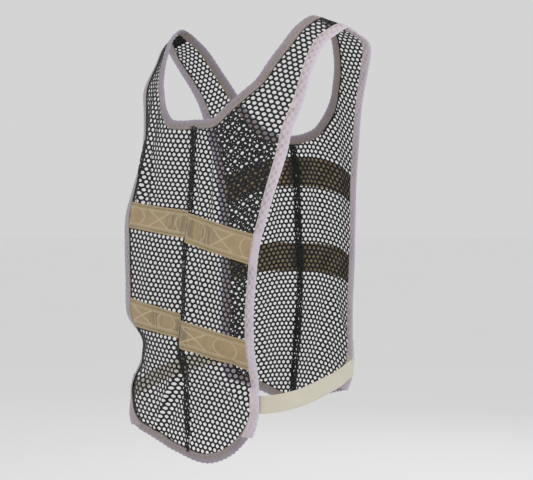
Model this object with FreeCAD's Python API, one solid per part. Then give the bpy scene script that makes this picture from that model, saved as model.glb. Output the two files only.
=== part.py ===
import FreeCAD, Part
import math
import os

os.makedirs("parts", exist_ok=True)
V = FreeCAD.Vector

# Millimetres. The wearer faces +Y, the wearer's right is +X, up is +Z.
# Every piece of cloth lies on one of two smooth sheets, back and front. A place on a
# sheet is (x, s): x across from the centre line, s down the cloth from the shoulder split.
NET_T = 1.2            # knitted net, doubled strands
BIND_W = 11.0          # folded binding, one side
BIND_T = 2.8           # folded binding over the net
TAPE_T = 0.8           # sewn tape on the net
SEAM_HALF = 4.0        # half width of the centre seam allowance
STRAP_W = 21.0         # elastic side strap
STRAP_T = 1.6
SPLIT = 1.0            # back and front stop this far short of the shoulder split
THREAD_W = 0.9         # a row of stitching
THREAD_H = 0.4
TOUCH = 0.35           # pieces that lie on or beside one another are this far apart

COLS = (0, 40, 75, 110, 150, 180)
# Per row: s, then (y, z) at each column.
BACK = (
    (0, (14, 20), (14, 15), (14, 6), (14, -5), (14, -18), (14, -29)),
    (18, (-32, 16), (-26, 14), (-16, 8), (-4, -1), (9, -17), (16, -29)),
    (44, (-56, -2), (-50, -4), (-38, -8), (-25, -15), (-7, -32), (4, -46)),
    (77, (-80, -36), (-74, -38), (-60, -40), (-43, -43), (-20, -54), (-4, -70)),
    (122, (-96, -82), (-92, -83), (-78, -84), (-62, -85), (-44, -88), (-30, -98)),
    (147, (-101, -108), (-101, -109), (-87, -109), (-67, -110), (-44, -112), (-28, -120)),
    (175, (-102, -136), (-105, -137), (-94, -137), (-71, -138), (-46, -140), (-28, -146)),
    (212, (-105, -174), (-107, -174), (-100, -174), (-79, -174), (-51, -176), (-32, -180)),
    (252, (-107, -212), (-108, -212), (-104, -212), (-93, -212), (-68, -213), (-50, -214)),
    (287, (-110, -245), (-111, -245), (-110, -245), (-105, -245), (-90, -246), (-78, -246)),
    (325, (-118, -283), (-118, -283), (-116, -282), (-111, -282), (-100, -283), (-92, -283)),
    (368, (-121, -325), (-120, -325), (-118, -325), (-113, -325), (-104, -325), (-96, -325)),
    (413, (-123, -370), (-121, -370), (-119, -370), (-114, -370), (-106, -370), (-98, -370)),
    (447, (-127, -404), (-124, -404), (-117, -404), (-108, -404), (-96, -404), (-88, -404)),
    (484, (-119, -441), (-117, -441), (-110, -441), (-102, -441), (-92, -441), (-84, -441)),
    (524, (-115, -481), (-113, -481), (-111, -481), (-110, -481), (-106, -481), (-102, -481)),
    (564, (-114, -521), (-110, -521), (-108, -521), (-112, -521), (-110, -521), (-108, -521)),
    (604, (-113, -561), (-109, -561), (-108, -561), (-113, -561), (-112, -561), (-110, -561)))
FRONT = (
    (0, (14, 20), (14, 15), (14, 6), (14, -5), (14, -18), (14, -29)),
    (30, (38, 8), (38, 2), (38, -9), (37, -24), (36, -31), (38, -38)),
    (60, (54, -20), (55, -25), (55, -35), (53, -50), (49, -55), (50, -62)),
    (97, (68, -58), (70, -60), (70, -70), (66, -84), (58, -90), (57, -98)),
    (127, (76, -90), (78, -90), (78, -100), (71, -114), (60, -120), (57, -128)),
    (170, (86, -134), (88, -134), (85, -143), (76, -157), (62, -163), (57, -171)),
    (225, (96, -190), (97, -190), (92, -198), (78, -212), (62, -218), (54, -226)),
    (300, (103, -268), (102, -268), (96, -274), (79, -287), (61, -293), (52, -301)),
    (380, (103, -350), (101, -350), (94, -355), (76, -366), (59, -372), (50, -380)),
    (444, (98, -414), (97, -414), (90, -419), (76, -430), (62, -436), (54, -444)),
    (490, (92, -460), (90, -460), (85, -465), (76, -476), (66, -482), (60, -490)),
    (540, (88, -510), (86, -510), (82, -515), (74, -526), (66, -532), (62, -540)))

# Outer edges of the bindings, as (x, s).
NECK = {
    "back": ((0, 168), (20, 168), (33.3, 166), (44, 156.5), (54, 146), (65, 133.5),
             (75.9, 121), (85.5, 99), (94.2, 75), (102, 46), (108.5, 18), (110, 0)),
    "front": ((0, 176), (20, 175), (38, 169), (52, 156), (64, 140), (75, 120),
              (84, 98), (92, 76), (98, 55), (105, 28), (110, 0))}
SIDE = {
    "back": ((154, 0), (151.5, 14), (145.5, 38), (139.5, 58), (136.5, 80), (137, 100),
             (137, 121), (133.5, 140), (127.5, 162), (123.5, 176), (120.5, 212),
             (118.5, 252), (117, 292), (111, 327), (107, 372), (104.5, 416), (102, 451),
             (103, 484), (107.5, 523), (106, 537), (101.5, 549)),
    "front": ((154, 0), (160, 14), (164, 30), (160, 50), (150, 75), (140, 100),
              (129, 140), (121, 180), (116.5, 220), (113, 300), (110.5, 380),
              (110.5, 444), (109, 468), (104, 487))}
HEM = {
    "back": ((104, 543), (94, 554), (74, 567.5), (52, 578), (31, 586), (15, 589), (0, 590)),
    "front": ((106, 480), (96, 489), (74, 501), (52, 511), (31, 519), (15, 524), (0, 526))}

# Tapes: s of the top and bottom edges at the centre seam and at the side binding.
TAPES = {
    "back": {"upper_right": (286, 322, 313, 349), "upper_left": (283, 317, 270, 304),
             "lower_right": (418, 450, 438, 475), "lower_left": (411, 440, 392, 428)},
    "front": {"upper_right": (204, 241, 210, 247), "upper_left": (204, 241, 207, 244),
              "lower_right": (314, 351, 316, 352), "lower_left": (314, 351, 313, 350)}}

# Middle line of the right side strap. Each end lies flat inside a side binding, at s.
STRAP = ((99, -106.7, -471), (107, -106, -471), (117, -99, -470.5), (126.5, -76, -468),
         (132, -50, -463.5), (135, -18, -456), (133, 15, -449), (127, 43, -441.5),
         (118.5, 64, -438), (111, 72.5, -437), (103, 75.2, -437))
STRAP_ENDS = {"back": 514, "front": 450}


def hermite(knots, t):
    """Weights of a smooth curve through values at knots: [(index, weight), ...]."""
    n = len(knots)
    i = 0
    while i < n - 2 and t > knots[i + 1]:
        i += 1
    h = knots[i + 1] - knots[i]
    u = (t - knots[i]) / h
    h00, h10 = 2 * u**3 - 3 * u**2 + 1, u**3 - 2 * u**2 + u
    h01, h11 = -2 * u**3 + 3 * u**2, u**3 - u**2
    out = [(i, h00), (i + 1, h01)]
    for k, w in ((i, h * h10), (i + 1, h * h11)):
        if k == 0:
            d = knots[1] - knots[0]
            out += [(0, -w / d), (1, w / d)]
        elif k == n - 1:
            d = knots[-1] - knots[-2]
            out += [(n - 2, -w / d), (n - 1, w / d)]
        else:
            a, b = knots[k] - knots[k - 1], knots[k + 1] - knots[k]
            out += [(k - 1, -w * b / (a * (a + b))), (k, w * (b - a) / (a * b)),
                    (k + 1, w * a / (b * (a + b)))]
    return out


def cloth(panel, x, s):
    """Point on the sheet."""
    table = BACK if panel == "back" else FRONT
    y = z = 0.0
    across = hermite(COLS, abs(x))
    for r, wr in hermite([row[0] for row in table], s):
        for c, wc in across:
            y += wr * wc * table[r][c + 1][0]
            z += wr * wc * table[r][c + 1][1]
    return V(x, y, z)


def lifted(panel, x, s, off):
    """Point off millimetres outside the sheet."""
    e = 0.5
    dx = cloth(panel, x + e, s) - cloth(panel, x - e, s)
    ds = cloth(panel, x, s + e) - cloth(panel, x, s - e)
    out = dx.cross(ds).normalize()
    if panel == "back":
        out = -out
    return cloth(panel, x, s) + out * off


def along(path, n):
    """n + 1 places evenly spaced along a smooth curve through path."""
    dist = [0.0]
    for a, b in zip(path, path[1:]):
        dist.append(dist[-1] + math.dist(a, b))
    pts = []
    for i in range(n + 1):
        w = hermite(dist, dist[-1] * i / n)
        pts.append(tuple(sum(k * path[j][c] for j, k in w) for c in range(len(path[0]))))
    return pts


def solid_from(outer, inner):
    """Closed solid between two grids of points."""
    faces, skins = [], []
    for grid in (outer, inner):
        skin = Part.BSplineSurface()
        skin.interpolate(grid)
        skins.append(skin)
        faces.append(skin.toShape())
    u0, u1, v0, v1 = skins[0].bounds()
    for side in ("uIso", "vIso"):
        for t in ((u0, u1) if side == "uIso" else (v0, v1)):
            a, b = (getattr(k, side)(t).toShape() for k in skins)
            faces.append(Part.makeRuledSurface(a, b))
    shell = Part.makeShell(faces)
    shell.sewShape()
    solid = Part.Solid(shell.Shells[0] if shell.ShapeType != "Shell" else shell)
    if solid.Volume < 0:
        solid.reverse()
    return solid


def patch(panel, place, n, m, lo, hi):
    """Solid over place(i / n, j / m) -> (x, s), between lo and hi outside the sheet."""
    grids = []
    for off in (hi, lo):
        grids.append([[lifted(panel, *place(i / n, j / m), off) for j in range(m + 1)]
                      for i in range(n + 1)])
    return solid_from(*grids)


def beside(path, n, o):
    """Places o millimetres to the right of a path, looking along it."""
    pts, out = along(path, n), []
    for i, (x, s) in enumerate(pts):
        p, q = pts[max(i - 1, 0)], pts[min(i + 1, n)]
        run = math.dist(p, q)
        out.append((x - (q[1] - p[1]) / run * o,
                    SPLIT if s < 0.01 else s + (q[0] - p[0]) / run * o))
    return out


def strip(panel, path, n, near, far, lo, hi):
    """Strip beside a path, from near to far millimetres to its right."""
    lines = [beside(path, n, near + (far - near) * k / 3) for k in range(4)]

    def place(a, b):
        return lines[round(3 * b)][round(a * n)]
    return patch(panel, place, n, 3, lo, hi)


def hem_s(panel, x, inset):
    """s of the line that runs inset millimetres above the hem's outer edge, at x."""
    pts = beside(tuple(reversed(HEM[panel])), 24, -inset)
    pts = [(-px, ps) for px, ps in reversed(pts[1:])] + pts
    x = min(x, pts[-1][0])
    for p, q in zip(pts, pts[1:]):
        if p[0] <= x <= q[0]:
            return p[1] + (q[1] - p[1]) * (x - p[0]) / (q[0] - p[0])


def hem_strip(panel, near, far, lo, hi):
    """Strip along the hem, ending beside the side bindings."""
    end = SIDE[panel][-1][0] - BIND_W - 1.5

    def place(a, b):
        x = end * (2 * a - 1)
        return x, hem_s(panel, x, near + (far - near) * b)
    return patch(panel, place, 44, 3, lo, hi)


def net_place(panel, n, m):
    """Net sheet of the right half: place(a, b), a down the cloth, b from inner to outer edge."""
    inset = BIND_W + TOUCH
    neck = [k for k in beside(NECK[panel], 24, inset) if k[0] > SEAM_HALF + 12][::-1]
    corner = NECK[panel][0][1] + inset
    low = hem_s(panel, SEAM_HALF, inset)
    rounding = [(9, 0), (4, 1), (1, 3.5), (0, 8), (0, 16)]
    inner = neck + [(SEAM_HALF + x, corner + s) for x, s in rounding]
    steps = 12
    inner += [(SEAM_HALF, corner + 16 + (low - corner - 16) * k / steps) for k in range(1, steps + 1)]
    outer = [k for k in beside(SIDE[panel], 80, inset)
             if k[1] < 300 or k[1] <= hem_s(panel, k[0], inset)]
    left, right = along(inner, n), along(outer, n)

    def place(a, b):
        i = round(a * n)
        x, s = (left[i][c] + (right[i][c] - left[i][c]) * b for c in range(2))
        base = left[n][1] + (right[n][1] - left[n][1]) * b
        bottom = hem_s(panel, left[n][0] + (right[n][0] - left[n][0]) * b, inset)
        return x, s + a**4 * (bottom - base)
    return place


def save(name, shapes):
    shape = shapes[0] if len(shapes) == 1 else Part.makeCompound(shapes)
    assert shape.isValid() and all(k.Volume > 0 for k in shape.Solids), name
    shape.exportStep("parts/%s.step" % name)
    box = shape.BoundBox
    print("%-30s %8.0f mm3  x %.0f..%.0f y %.0f..%.0f z %.0f..%.0f" % (
        name, shape.Volume, box.XMin, box.XMax, box.YMin, box.YMax, box.ZMin, box.ZMax))


def mirrored(shape):
    return shape.mirror(V(0, 0, 0), V(1, 0, 0))


def whole(path):
    """A path from the centre line to the right, continued to the left."""
    return tuple((-x, s) for x, s in reversed(path[1:])) + tuple(path)


def inner_x(panel, s):
    """x of the side binding's inner edge at s."""
    pts = along(SIDE[panel], 120)
    for p, q in zip(pts, pts[1:]):
        if p[1] <= s <= q[1]:
            t = (s - p[1]) / (q[1] - p[1])
            slope = (q[0] - p[0]) / (q[1] - p[1])
            return p[0] + t * (q[0] - p[0]) - BIND_W * math.hypot(1, slope)


net, bind, on_net = NET_T / 2, BIND_T / 2, NET_T / 2 + TOUCH
on_tape, on_bind = on_net + TAPE_T + TOUCH, bind + TOUCH
for panel in ("back", "front"):
    # Bindings: one round the neck, one down each side, one along the hem.
    neck = strip(panel, whole(NECK[panel]), 60, 0, BIND_W, -bind, bind)
    side = strip(panel, SIDE[panel], 60, 0, BIND_W, -bind, bind)
    hem = hem_strip(panel, 0, BIND_W, -bind, bind)
    save("%s_neck_binding" % panel, [neck])
    save("%s_side_binding_right" % panel, [side])
    save("%s_side_binding_left" % panel, [mirrored(side)])
    save("%s_hem_binding" % panel, [hem])

    # Net: a sheet from the centre seam outwards, ending at the bindings.
    right = patch(panel, net_place(panel, 56, 10), 56, 10, -net, net)
    save("%s_panel_right" % panel, [right])
    save("%s_panel_left" % panel, [mirrored(right)])

    # Centre seam: the two allowances pressed together, from neck to hem.
    top = NECK[panel][0][1] + BIND_W + TOUCH
    bottom = HEM[panel][-1][1] - BIND_W - TOUCH - 0.3

    def seam(a, b):
        return (SEAM_HALF - TOUCH) * (2 * a - 1), top + (bottom - top) * b
    save("%s_centre_seam" % panel, [patch(panel, seam, 3, 30, -1.0, 1.3)])

    # Sewn tapes, each with a row of stitches along both long edges.
    rows = []
    for name, (top_in, low_in, top_out, low_out) in TAPES[panel].items():
        sign = 1 if name.endswith("right") else -1
        ends = inner_x(panel, top_out) - 2 * TOUCH, inner_x(panel, low_out) - 2 * TOUCH

        def tape(a, b):
            x0 = SEAM_HALF + 0.4
            x1 = ends[0] + (ends[1] - ends[0]) * b
            inner = top_in + (low_in - top_in) * b
            outer = top_out + (low_out - top_out) * b
            return sign * (x0 + (x1 - x0) * a), inner + (outer - inner) * a
        save("%s_band_%s" % (panel, name), [patch(panel, tape, 12, 4, on_net, on_net + TAPE_T)])
        width = low_in - top_in
        for edge in (3.5 / width, 1 - (3.5 + THREAD_W) / width):
            def row(a, b):
                return tape(0.01 + 0.98 * a, edge + THREAD_W / width * b)
            rows.append(patch(panel, row, 12, 1, on_tape, on_tape + THREAD_H))
    save("%s_band_stitching" % panel, rows)

    # One row of stitches along the inner edge of every binding.
    at = BIND_W - 2.4
    line = (on_bind, on_bind + THREAD_H)
    side_row = strip(panel, SIDE[panel], 60, at, at + THREAD_W, *line)
    hem_row = hem_strip(panel, at, at + THREAD_W, *line)
    save("%s_binding_stitching" % panel, [
        strip(panel, whole(NECK[panel]), 60, at, at + THREAD_W, *line),
        side_row, mirrored(side_row), hem_row])

# Shoulder seams, on the back's side of the split.
def shoulder(a, b):
    x0, x1 = NECK["back"][-1][0] + BIND_W + 0.5, SIDE["back"][0][0] - BIND_W - 4
    return x0 + (x1 - x0) * a, 4 + 8 * b


seam = patch("back", shoulder, 6, 4, on_net, on_net + 0.9)
save("shoulder_seam_right", [seam])
save("shoulder_seam_left", [mirrored(seam)])

# Elastic side straps: upright webbing from the back's side binding to the front's.
n = 36
middle = along(STRAP, n)
length = sum(math.dist(p, q) for p, q in zip(middle, middle[1:]))
skins = []
for off in (STRAP_T / 2, -STRAP_T / 2):
    grid = []
    for i, (x, y, z) in enumerate(middle):
        p, q = middle[max(i - 1, 0)], middle[min(i + 1, n)]
        run = V(q[0] - p[0], q[1] - p[1], q[2] - p[2]).normalize()
        out = V(run.y, -run.x, 0).normalize()
        up = out.cross(run)
        if up.z < 0:
            up = -up
        panel = "back" if 2 * i < n else "front"
        free = min(max((min(i, n - i) * length / n - 6) / 18, 0), 1)
        free = free * free * (3 - 2 * free)
        row = []
        for k in (-0.5, 0, 0.5):
            sewn = lifted(panel, x, STRAP_ENDS[panel] - k * STRAP_W,
                          off - BIND_T / 2 - TOUCH - STRAP_T / 2)
            loose = V(x, y, z) + out * off + up * (STRAP_W * k)
            row.append(sewn * (1 - free) + loose * free)
        grid.append(row)
    skins.append(grid)
strap = solid_from(*skins)
save("side_strap_right", [strap])
save("side_strap_left", [mirrored(strap)])
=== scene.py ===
import math

import bpy
import numpy as np
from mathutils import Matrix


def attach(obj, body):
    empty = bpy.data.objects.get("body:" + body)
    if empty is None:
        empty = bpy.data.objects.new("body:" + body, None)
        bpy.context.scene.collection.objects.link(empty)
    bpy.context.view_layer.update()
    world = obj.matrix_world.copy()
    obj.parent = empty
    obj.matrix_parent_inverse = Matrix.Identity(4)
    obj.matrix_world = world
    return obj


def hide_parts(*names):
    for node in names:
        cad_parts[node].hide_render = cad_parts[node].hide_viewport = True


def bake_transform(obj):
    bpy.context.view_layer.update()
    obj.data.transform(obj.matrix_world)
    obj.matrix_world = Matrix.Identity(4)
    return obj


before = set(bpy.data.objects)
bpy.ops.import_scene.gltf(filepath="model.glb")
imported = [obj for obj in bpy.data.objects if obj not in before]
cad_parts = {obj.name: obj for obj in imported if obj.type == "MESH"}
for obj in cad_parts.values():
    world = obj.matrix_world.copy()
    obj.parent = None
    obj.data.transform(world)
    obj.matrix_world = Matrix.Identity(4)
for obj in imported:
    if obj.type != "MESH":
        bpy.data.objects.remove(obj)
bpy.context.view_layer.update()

# The vest is cut and sewn flat, in millimetres: X across from the centre line, Y up the cloth
# (minus the distance s down from the shoulder split) and Z off the sheet. Then it is hung.
MM = 0.001
MESH_ACROSS = 7.4      # one cell of the net
MESH_DOWN = 11.2       # two staggered rows of cells
MESH_SIDE = 3.0        # a cell's upright side
MESH_STRAND = 1.05     # half of the strand between two cells
NET_T = 1.0
CENTRE_GAP = 1.0       # each half stops this far from the centre line
SPLIT_GAP = 0.3        # and this far from the shoulder split
BIND_W = 11.0          # folded binding, one side
BIND_T = 2.4           # folded binding over the net
BIND_CLOTH = 0.45
NET_INSET = BIND_W - 5
TAPE_LIFT = 0.85       # coated tape off the middle of the net
TAPE_CLOTH = 0.4
STRAP_W = 21.0         # elastic
STRAP_T = 1.3
TAB_COVER = 52         # lower end of the side's edge, where the tab takes over
TAB_FLARE = 15.5       # width of the tab's end
STITCH, STITCH_THREAD = 3.1, 0.33   # on bindings: a stitch's length, its thread's radius
TAPE_STITCH, TAPE_STITCH_THREAD = 2.6, 0.36
SHOULDER_MIDDLE = 132.0
FACE_RUN = 1.4         # one face along a binding
FACES_ROUND = 18       # faces from edge to edge of a folded strip

# Every piece of cloth lies on one of two smooth sheets. Per row: s, then (y, z) at each column x.
COLS = (0, 40, 75, 110, 150, 180)
BACK = (
    (0, (14, 20), (14, 15), (14, 6), (14, -5), (14, -18), (14, -29)),
    (18, (-32, 16), (-26, 14), (-16, 8), (-4, -1), (9, -17), (16, -29)),
    (44, (-56, -2), (-50, -4), (-38, -8), (-25, -15), (-7, -32), (4, -46)),
    (77, (-80, -36), (-74, -38), (-60, -40), (-43, -43), (-20, -54), (-4, -70)),
    (122, (-96, -82), (-92, -83), (-78, -84), (-62, -85), (-44, -88), (-30, -98)),
    (147, (-101, -108), (-101, -109), (-87, -109), (-67, -110), (-44, -112), (-28, -120)),
    (175, (-102, -136), (-105, -137), (-94, -137), (-71, -138), (-46, -140), (-28, -146)),
    (212, (-105, -174), (-107, -174), (-100, -174), (-79, -174), (-51, -176), (-32, -180)),
    (252, (-107, -212), (-108, -212), (-104, -212), (-93, -212), (-68, -213), (-50, -214)),
    (287, (-110, -245), (-111, -245), (-110, -245), (-105, -245), (-90, -246), (-78, -246)),
    (325, (-118, -283), (-118, -283), (-116, -282), (-111, -282), (-100, -283), (-92, -283)),
    (368, (-121, -325), (-120, -325), (-118, -325), (-113, -325), (-104, -325), (-96, -325)),
    (413, (-123, -370), (-121, -370), (-119, -370), (-114, -370), (-106, -370), (-98, -370)),
    (447, (-127, -404), (-124, -404), (-117, -404), (-108, -404), (-96, -404), (-88, -404)),
    (484, (-119, -441), (-117, -441), (-110, -441), (-102, -441), (-92, -441), (-84, -441)),
    (524, (-115, -481), (-113, -481), (-111, -481), (-110, -481), (-106, -481), (-102, -481)),
    (564, (-114, -521), (-110, -521), (-108, -521), (-112, -521), (-110, -521), (-108, -521)),
    (604, (-113, -561), (-109, -561), (-108, -561), (-113, -561), (-112, -561), (-110, -561)))
FRONT = (
    (0, (14, 20), (14, 15), (14, 6), (14, -5), (14, -18), (14, -29)),
    (30, (38, 8), (38, 2), (38, -9), (37, -24), (36, -31), (38, -38)),
    (60, (54, -20), (55, -25), (55, -35), (53, -50), (49, -55), (50, -62)),
    (97, (68, -58), (70, -60), (70, -70), (66, -84), (58, -90), (57, -98)),
    (127, (76, -90), (78, -90), (78, -100), (71, -114), (60, -120), (57, -128)),
    (170, (86, -134), (88, -134), (85, -143), (76, -157), (62, -163), (57, -171)),
    (225, (96, -190), (97, -190), (92, -198), (78, -212), (62, -218), (54, -226)),
    (300, (103, -268), (102, -268), (96, -274), (79, -287), (61, -293), (52, -301)),
    (380, (103, -350), (101, -350), (94, -355), (76, -366), (59, -372), (50, -380)),
    (444, (98, -414), (97, -414), (90, -419), (76, -430), (62, -436), (54, -444)),
    (490, (92, -460), (90, -460), (85, -465), (76, -476), (66, -482), (60, -490)),
    (540, (88, -510), (86, -510), (82, -515), (74, -526), (66, -532), (62, -540)))
SHEETS = {"back": BACK, "front": FRONT}
SIGN = {"right": 1, "left": -1}

# Edges as points (x, s): neck and side of the right half.
NECK = {
    "back": ((0, 168), (20, 168), (33.3, 166), (44, 156.5), (54, 146), (65, 133.5),
             (75.9, 121), (85.5, 99), (94.2, 75), (102, 46), (108.5, 18), (110, 0)),
    "front": ((0, 176), (20, 175), (38, 169), (52, 156), (64, 140), (75, 120),
              (84, 98), (92, 76), (98, 55), (105, 28), (110, 0))}
SIDE = {
    "back": ((154, 0), (151.5, 14), (145.5, 38), (139.5, 58), (136.5, 80), (137, 100),
             (137, 121), (133.5, 140), (127.5, 162), (123.5, 176), (120.5, 212),
             (118.5, 252), (117, 292), (111, 327), (107, 372), (104.5, 416), (102, 451),
             (103, 484), (107.5, 523), (106, 537), (101.5, 549)),
    "front": ((154, 0), (160, 14), (164, 30), (160, 50), (150, 75), (140, 100),
              (129, 140), (121, 180), (116.5, 220), (113, 300), (110.5, 380),
              (110.5, 444), (109, 468), (104, 487))}
HEM = {  # whole line, from the left side round to the right; it turns up under the side tabs
    "back": ((-107.5, 508), (-107, 523), (-104, 540), (-97, 551), (-87, 559.5), (-72, 565.5),
             (-52, 572.5), (-34, 579), (-16, 583.5), (0, 587), (12, 589.5), (24, 590.5),
             (35, 589.5), (46, 586.5), (57, 582), (69, 575), (81, 565.5), (93, 554),
             (102, 541.5), (107, 527), (108, 508)),
    "front": ((-110, 438), (-109.5, 456), (-105, 474), (-96, 487), (-74, 500), (-52, 510),
              (-31, 518), (-15, 523), (0, 525), (15, 523), (31, 518), (52, 510), (74, 500),
              (96, 487), (105, 474), (109.5, 456), (110, 438))}

# Tabs that finish the lower ends of the side bindings, along their outer edges.
TAB = {"back": ((102.5, 493), (107, 510), (109, 524), (106.5, 539), (101, 552), (96, 561)),
       "front": ((111.5, 420), (112, 436), (111.5, 456), (107.5, 473), (101, 486), (97, 495))}

# Tapes: s of the top and bottom edges at the centre seam and at the side binding.
TAPES = {
    "back": {"upper_right": (286, 322, 313, 349), "upper_left": (283, 317, 270, 304),
             "lower_right": (418, 450, 438, 475), "lower_left": (411, 440, 392, 428)},
    "front": {"upper_right": (204, 241, 210, 247), "upper_left": (204, 241, 207, 244),
              "lower_right": (314, 351, 316, 352), "lower_left": (314, 351, 313, 350)}}

# The right side strap's middle line, from back to front, and s of its ends' middles.
STRAP = ((99, -106.7, -471), (107, -106, -471), (117, -99, -470.5), (126.5, -76, -468),
         (132, -50, -463.5), (135, -18, -456), (133, 15, -449), (127, 43, -441.5),
         (118.5, 64, -438), (111, 72.5, -437), (103, 75.2, -437))
STRAP_ENDS = {"back": 514, "front": 450}

# Each half's net: degrees that its rows slope, and how far it is drawn together across.
GRAIN = {("back", "right"): (-10, 0.93), ("back", "left"): (-6, 1.02),
         ("front", "right"): (-3, 1.0), ("front", "left"): (4, 1.0)}

# Folds: ridges (from x, s, to x, s, half width, height), height off the sheet.
FOLDS = {
    "back": ((-14, 478, -60, 556, 3.4, 4.2), (40, 480, 92, 520, 3.4, 3.6),
             (-99, 190, -88, 285, 4, 4.0), (-76, 195, -66, 285, 4, 3.6),
             (8, 215, 12, 292, 4, -3.2), (34, 200, 43, 300, 4, 2.8),
             (30, 340, 28, 420, 4.5, 2.6), (-4, 452, -2, 565, 3.5, 3.0),
             (12, 190, 10, 300, 9, 3.0), (34, 178, 26, 300, 7, -3.0),
             (52, 176, 40, 290, 9, 2.2), (-16, 185, -14, 290, 8, -2.4),
             (-96, 120, -92, 300, 9, 4.0), (-78, 130, -76, 290, 8, -3.0),
             (-50, 180, -52, 280, 9, 1.6), (9, 300, 9, 520, 8, 4.5),
             (-9, 320, -9, 520, 7, -3.0), (8, 470, -44, 560, 8, -4.5),
             (-14, 480, -70, 545, 9, 3.5), (92, 515, 40, 470, 7, 4.0),
             (98, 500, 55, 452, 6, -3.5), (30, 480, 20, 575, 10, 2.5),
             (-95, 470, -60, 505, 8, -3.5), (70, 345, 60, 430, 12, 2.0),
             (-60, 330, -64, 405, 12, 2.4)),
    "front": ((14, 190, 12, 300, 9, 2.4), (40, 182, 34, 300, 9, -2.6),
              (-22, 190, -24, 310, 9, -2.4), (-52, 180, -48, 330, 10, 2.4),
              (80, 120, 78, 260, 10, 2.6), (60, 350, 30, 490, 11, -3.4),
              (-70, 360, -40, 500, 10, 3.2), (-96, 420, -50, 400, 9, -2.4),
              (96, 430, 60, 380, 9, 3.0), (0, 330, 4, 505, 10, 2.6))}


# -------- the sheets and their edges

def bell(t, middle, half, power=2):
    """1 at the middle, falling to 0 beyond half the width either side."""
    return np.exp(-((t - middle) / half) ** power)


def eased(t):
    """0 to 1 with a soft start and end."""
    return t * t * (3 - 2 * t)


def curve_weights(knots, t):
    """How much each knot's value counts in a smooth curve through the knots, at each t."""
    knots = np.asarray(knots, float)
    t = np.asarray(t, float).ravel()
    n = len(knots)
    i = np.clip(np.searchsorted(knots, t, side="right") - 1, 0, n - 2)
    h = knots[i + 1] - knots[i]
    u = (t - knots[i]) / h
    slopes = np.zeros((n, n))
    for k in range(1, n - 1):
        a, b = knots[k] - knots[k - 1], knots[k + 1] - knots[k]
        slopes[k, k - 1:k + 2] = -b / (a * (a + b)), (b - a) / (a * b), a / (b * (a + b))
    slopes[0, :2] = -1 / (knots[1] - knots[0]), 1 / (knots[1] - knots[0])
    slopes[-1, -2:] = -1 / (knots[-1] - knots[-2]), 1 / (knots[-1] - knots[-2])
    unit = np.eye(n)
    leave, leave_slope = 2 * u**3 - 3 * u**2 + 1, h * (u**3 - 2 * u**2 + u)
    reach, reach_slope = -2 * u**3 + 3 * u**2, h * (u**3 - u**2)
    return (leave[:, None] * unit[i] + leave_slope[:, None] * slopes[i]
            + reach[:, None] * unit[i + 1] + reach_slope[:, None] * slopes[i + 1])


def fold_height(panel, x, s):
    """How far the folds lift the sheet at x, s."""
    out = np.zeros_like(x)
    for x0, s0, x1, s1, width, height in FOLDS[panel]:
        dx, ds = x1 - x0, s1 - s0
        t = np.clip(((x - x0) * dx + (s - s0) * ds) / (dx * dx + ds * ds), 0, 1)
        away = np.hypot(x - x0 - t * dx, s - s0 - t * ds)
        out += height * bell(away, 0, width) * np.sin(math.pi * np.clip(0.12 + 0.76 * t, 0, 1))
    return out


def pinch(x, s):
    """The back's left edge is drawn in above the waist, flares out below it and turns forward."""
    t = np.clip((-x - 55) / 50, 0, 1.2)
    waist = 12 * bell(s, 447, 17) * t ** 1.5
    flare = 20 * bell(s, 504, 29) * t
    curl = 25 * bell(s, 484, 54, 4) * t ** 3
    return np.column_stack([waist - flare, curl, 0 * x])


def sheet_point(panel, x, s):
    """Place of (x, s) on the smooth sheet, without folds."""
    table = SHEETS[panel]
    grid = np.array([row[1:] for row in table], float)
    down = curve_weights([row[0] for row in table], s)
    across = curve_weights(COLS, np.abs(x))
    yz = np.einsum("nr,nc,rcd->nd", down, across, grid)
    at = np.column_stack([x, yz])
    return at + pinch(x, s) if panel == "back" else at


def lifted(panel, x, s, off):
    """Points off millimetres outside the sheet, folds included."""
    e = 0.5
    dx = sheet_point(panel, x + e, s) - sheet_point(panel, x - e, s)
    ds = sheet_point(panel, x, s + e) - sheet_point(panel, x, s - e)
    out = np.cross(dx, ds)
    out /= np.linalg.norm(out, axis=1)[:, None]
    if panel == "back":
        out = -out
    off = off + fold_height(panel, x, s)
    return sheet_point(panel, x, s) + out * off[:, None]


def along(path, d):
    """Places at distances d along a smooth curve through a path."""
    path = np.array(path, float)
    steps = np.linalg.norm(np.diff(path, axis=0), axis=1)
    dist = np.concatenate([[0], np.cumsum(steps)])
    return curve_weights(dist, np.clip(d, 0, dist[-1])) @ path


def length_of(path):
    return float(np.linalg.norm(np.diff(np.array(path, float), axis=0), axis=1).sum())


def whole(path):
    """A path from the centre line to the right, continued to the left."""
    return tuple((-x, s) for x, s in reversed(path[1:])) + tuple(path)


def beside(path, d, o):
    """x and s at distances d along a path, o millimetres to its right."""
    d = np.clip(d, 0, length_of(path))
    p, q, at = along(path, d - 1.0), along(path, d + 1.0), along(path, d)
    run = q - p
    run /= np.linalg.norm(run, axis=1)[:, None]
    return at[:, 0] - run[:, 1] * o, at[:, 1] + run[:, 0] * o


def edge_x(panel, s, inset):
    """x of the line inset millimetres inside the side's outer edge, at s."""
    d = np.linspace(0, length_of(SIDE[panel]), 200)
    px, ps = beside(SIDE[panel], d, inset)
    return np.interp(s, ps, px)


# -------- making pieces

def only(obj):
    """Selects this object and nothing else."""
    bpy.ops.object.select_all(action="DESELECT")
    obj.select_set(True)
    bpy.context.view_layer.objects.active = obj


def edit(obj, kind):
    """Sets vertices or faces as what is picked, with none of them picked."""
    only(obj)
    bpy.ops.object.mode_set(mode="EDIT")
    bpy.ops.mesh.select_mode(type=kind)
    bpy.ops.mesh.select_all(action="DESELECT")
    bpy.ops.object.mode_set(mode="OBJECT")


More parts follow.
